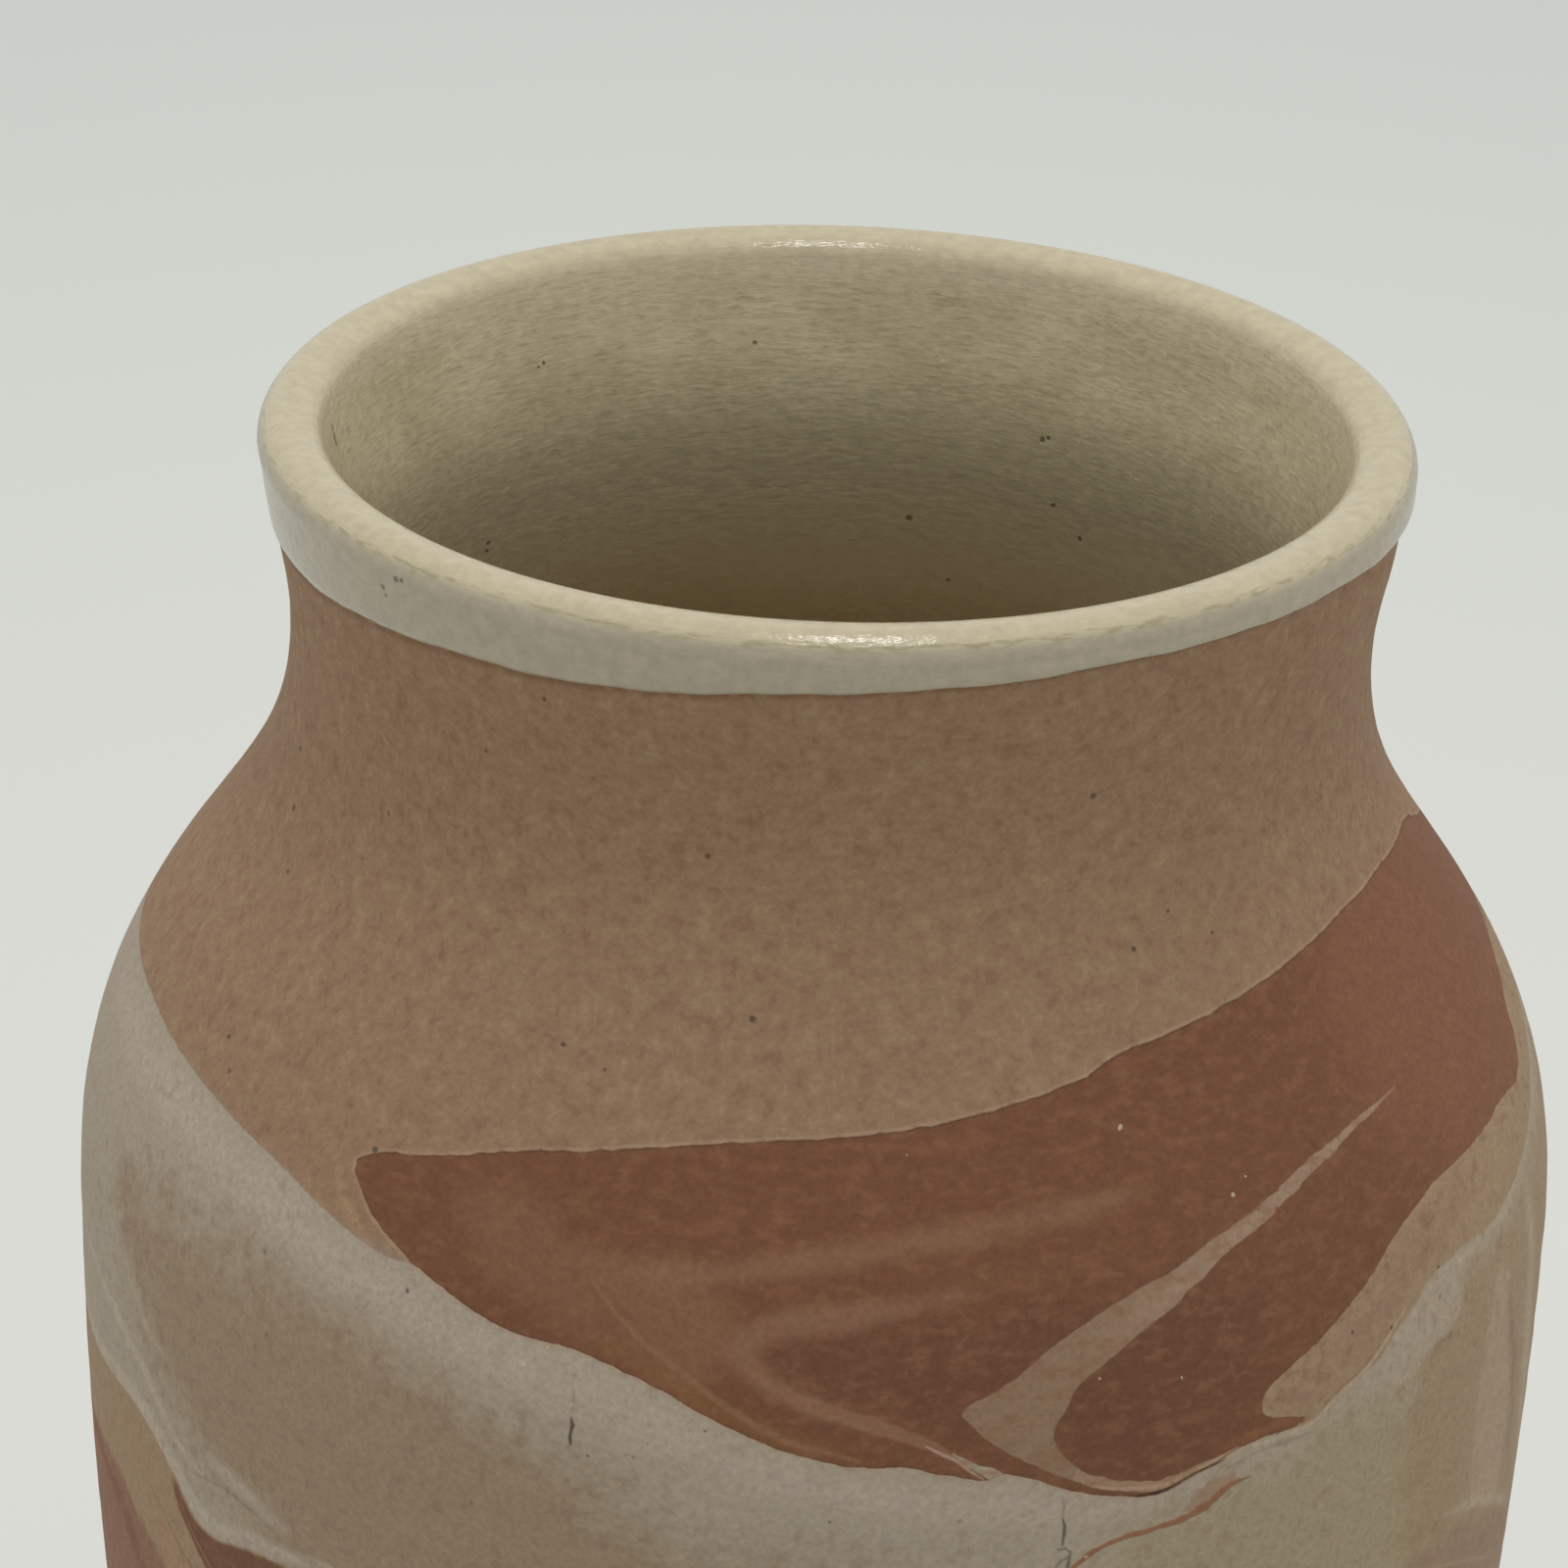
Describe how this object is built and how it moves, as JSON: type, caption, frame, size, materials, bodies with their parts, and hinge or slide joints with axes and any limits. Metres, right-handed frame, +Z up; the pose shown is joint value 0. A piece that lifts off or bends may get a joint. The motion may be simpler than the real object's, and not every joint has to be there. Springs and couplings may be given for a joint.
{
  "type": "pottery vase",
  "caption": "Wheel-thrown vase of marbled clay with a wide mouth, waisted neck, sloping shoulder and glazed inside.",
  "frame": {"origin": "centre of the base, in the plane of the foot ring", "axes": "+Z up along the vase's axis, -Y towards the front, +X to the right seen from the front"},
  "size_m": [0.1064, 0.1064, 0.166],
  "materials": {
    "buff_clay": "bare fired buff stoneware, matt and finely grained",
    "cream_glaze": "cream glaze, semi-gloss",
    "grey_clay": "bare fired pale grey clay, matt and smooth",
    "taupe_clay": "bare fired taupe clay, matt",
    "olive_clay": "bare fired pale olive clay, matt",
    "terracotta_clay": "bare fired terracotta, matt",
    "pale_clay": "bare fired pale clay, matt"
  },
  "bodies": {
    "root": {"thrown_body": "buff_clay", "glaze_lining": "cream_glaze", "grey_swirl": "grey_clay", "taupe_band": "taupe_clay", "olive_streak": "olive_clay", "grey_back_swirl": "grey_clay", "terracotta_drift": "terracotta_clay", "terracotta_swirl": "terracotta_clay", "terracotta_sliver": "terracotta_clay", "pale_vein": "pale_clay"}
  },
  "joints": []
}
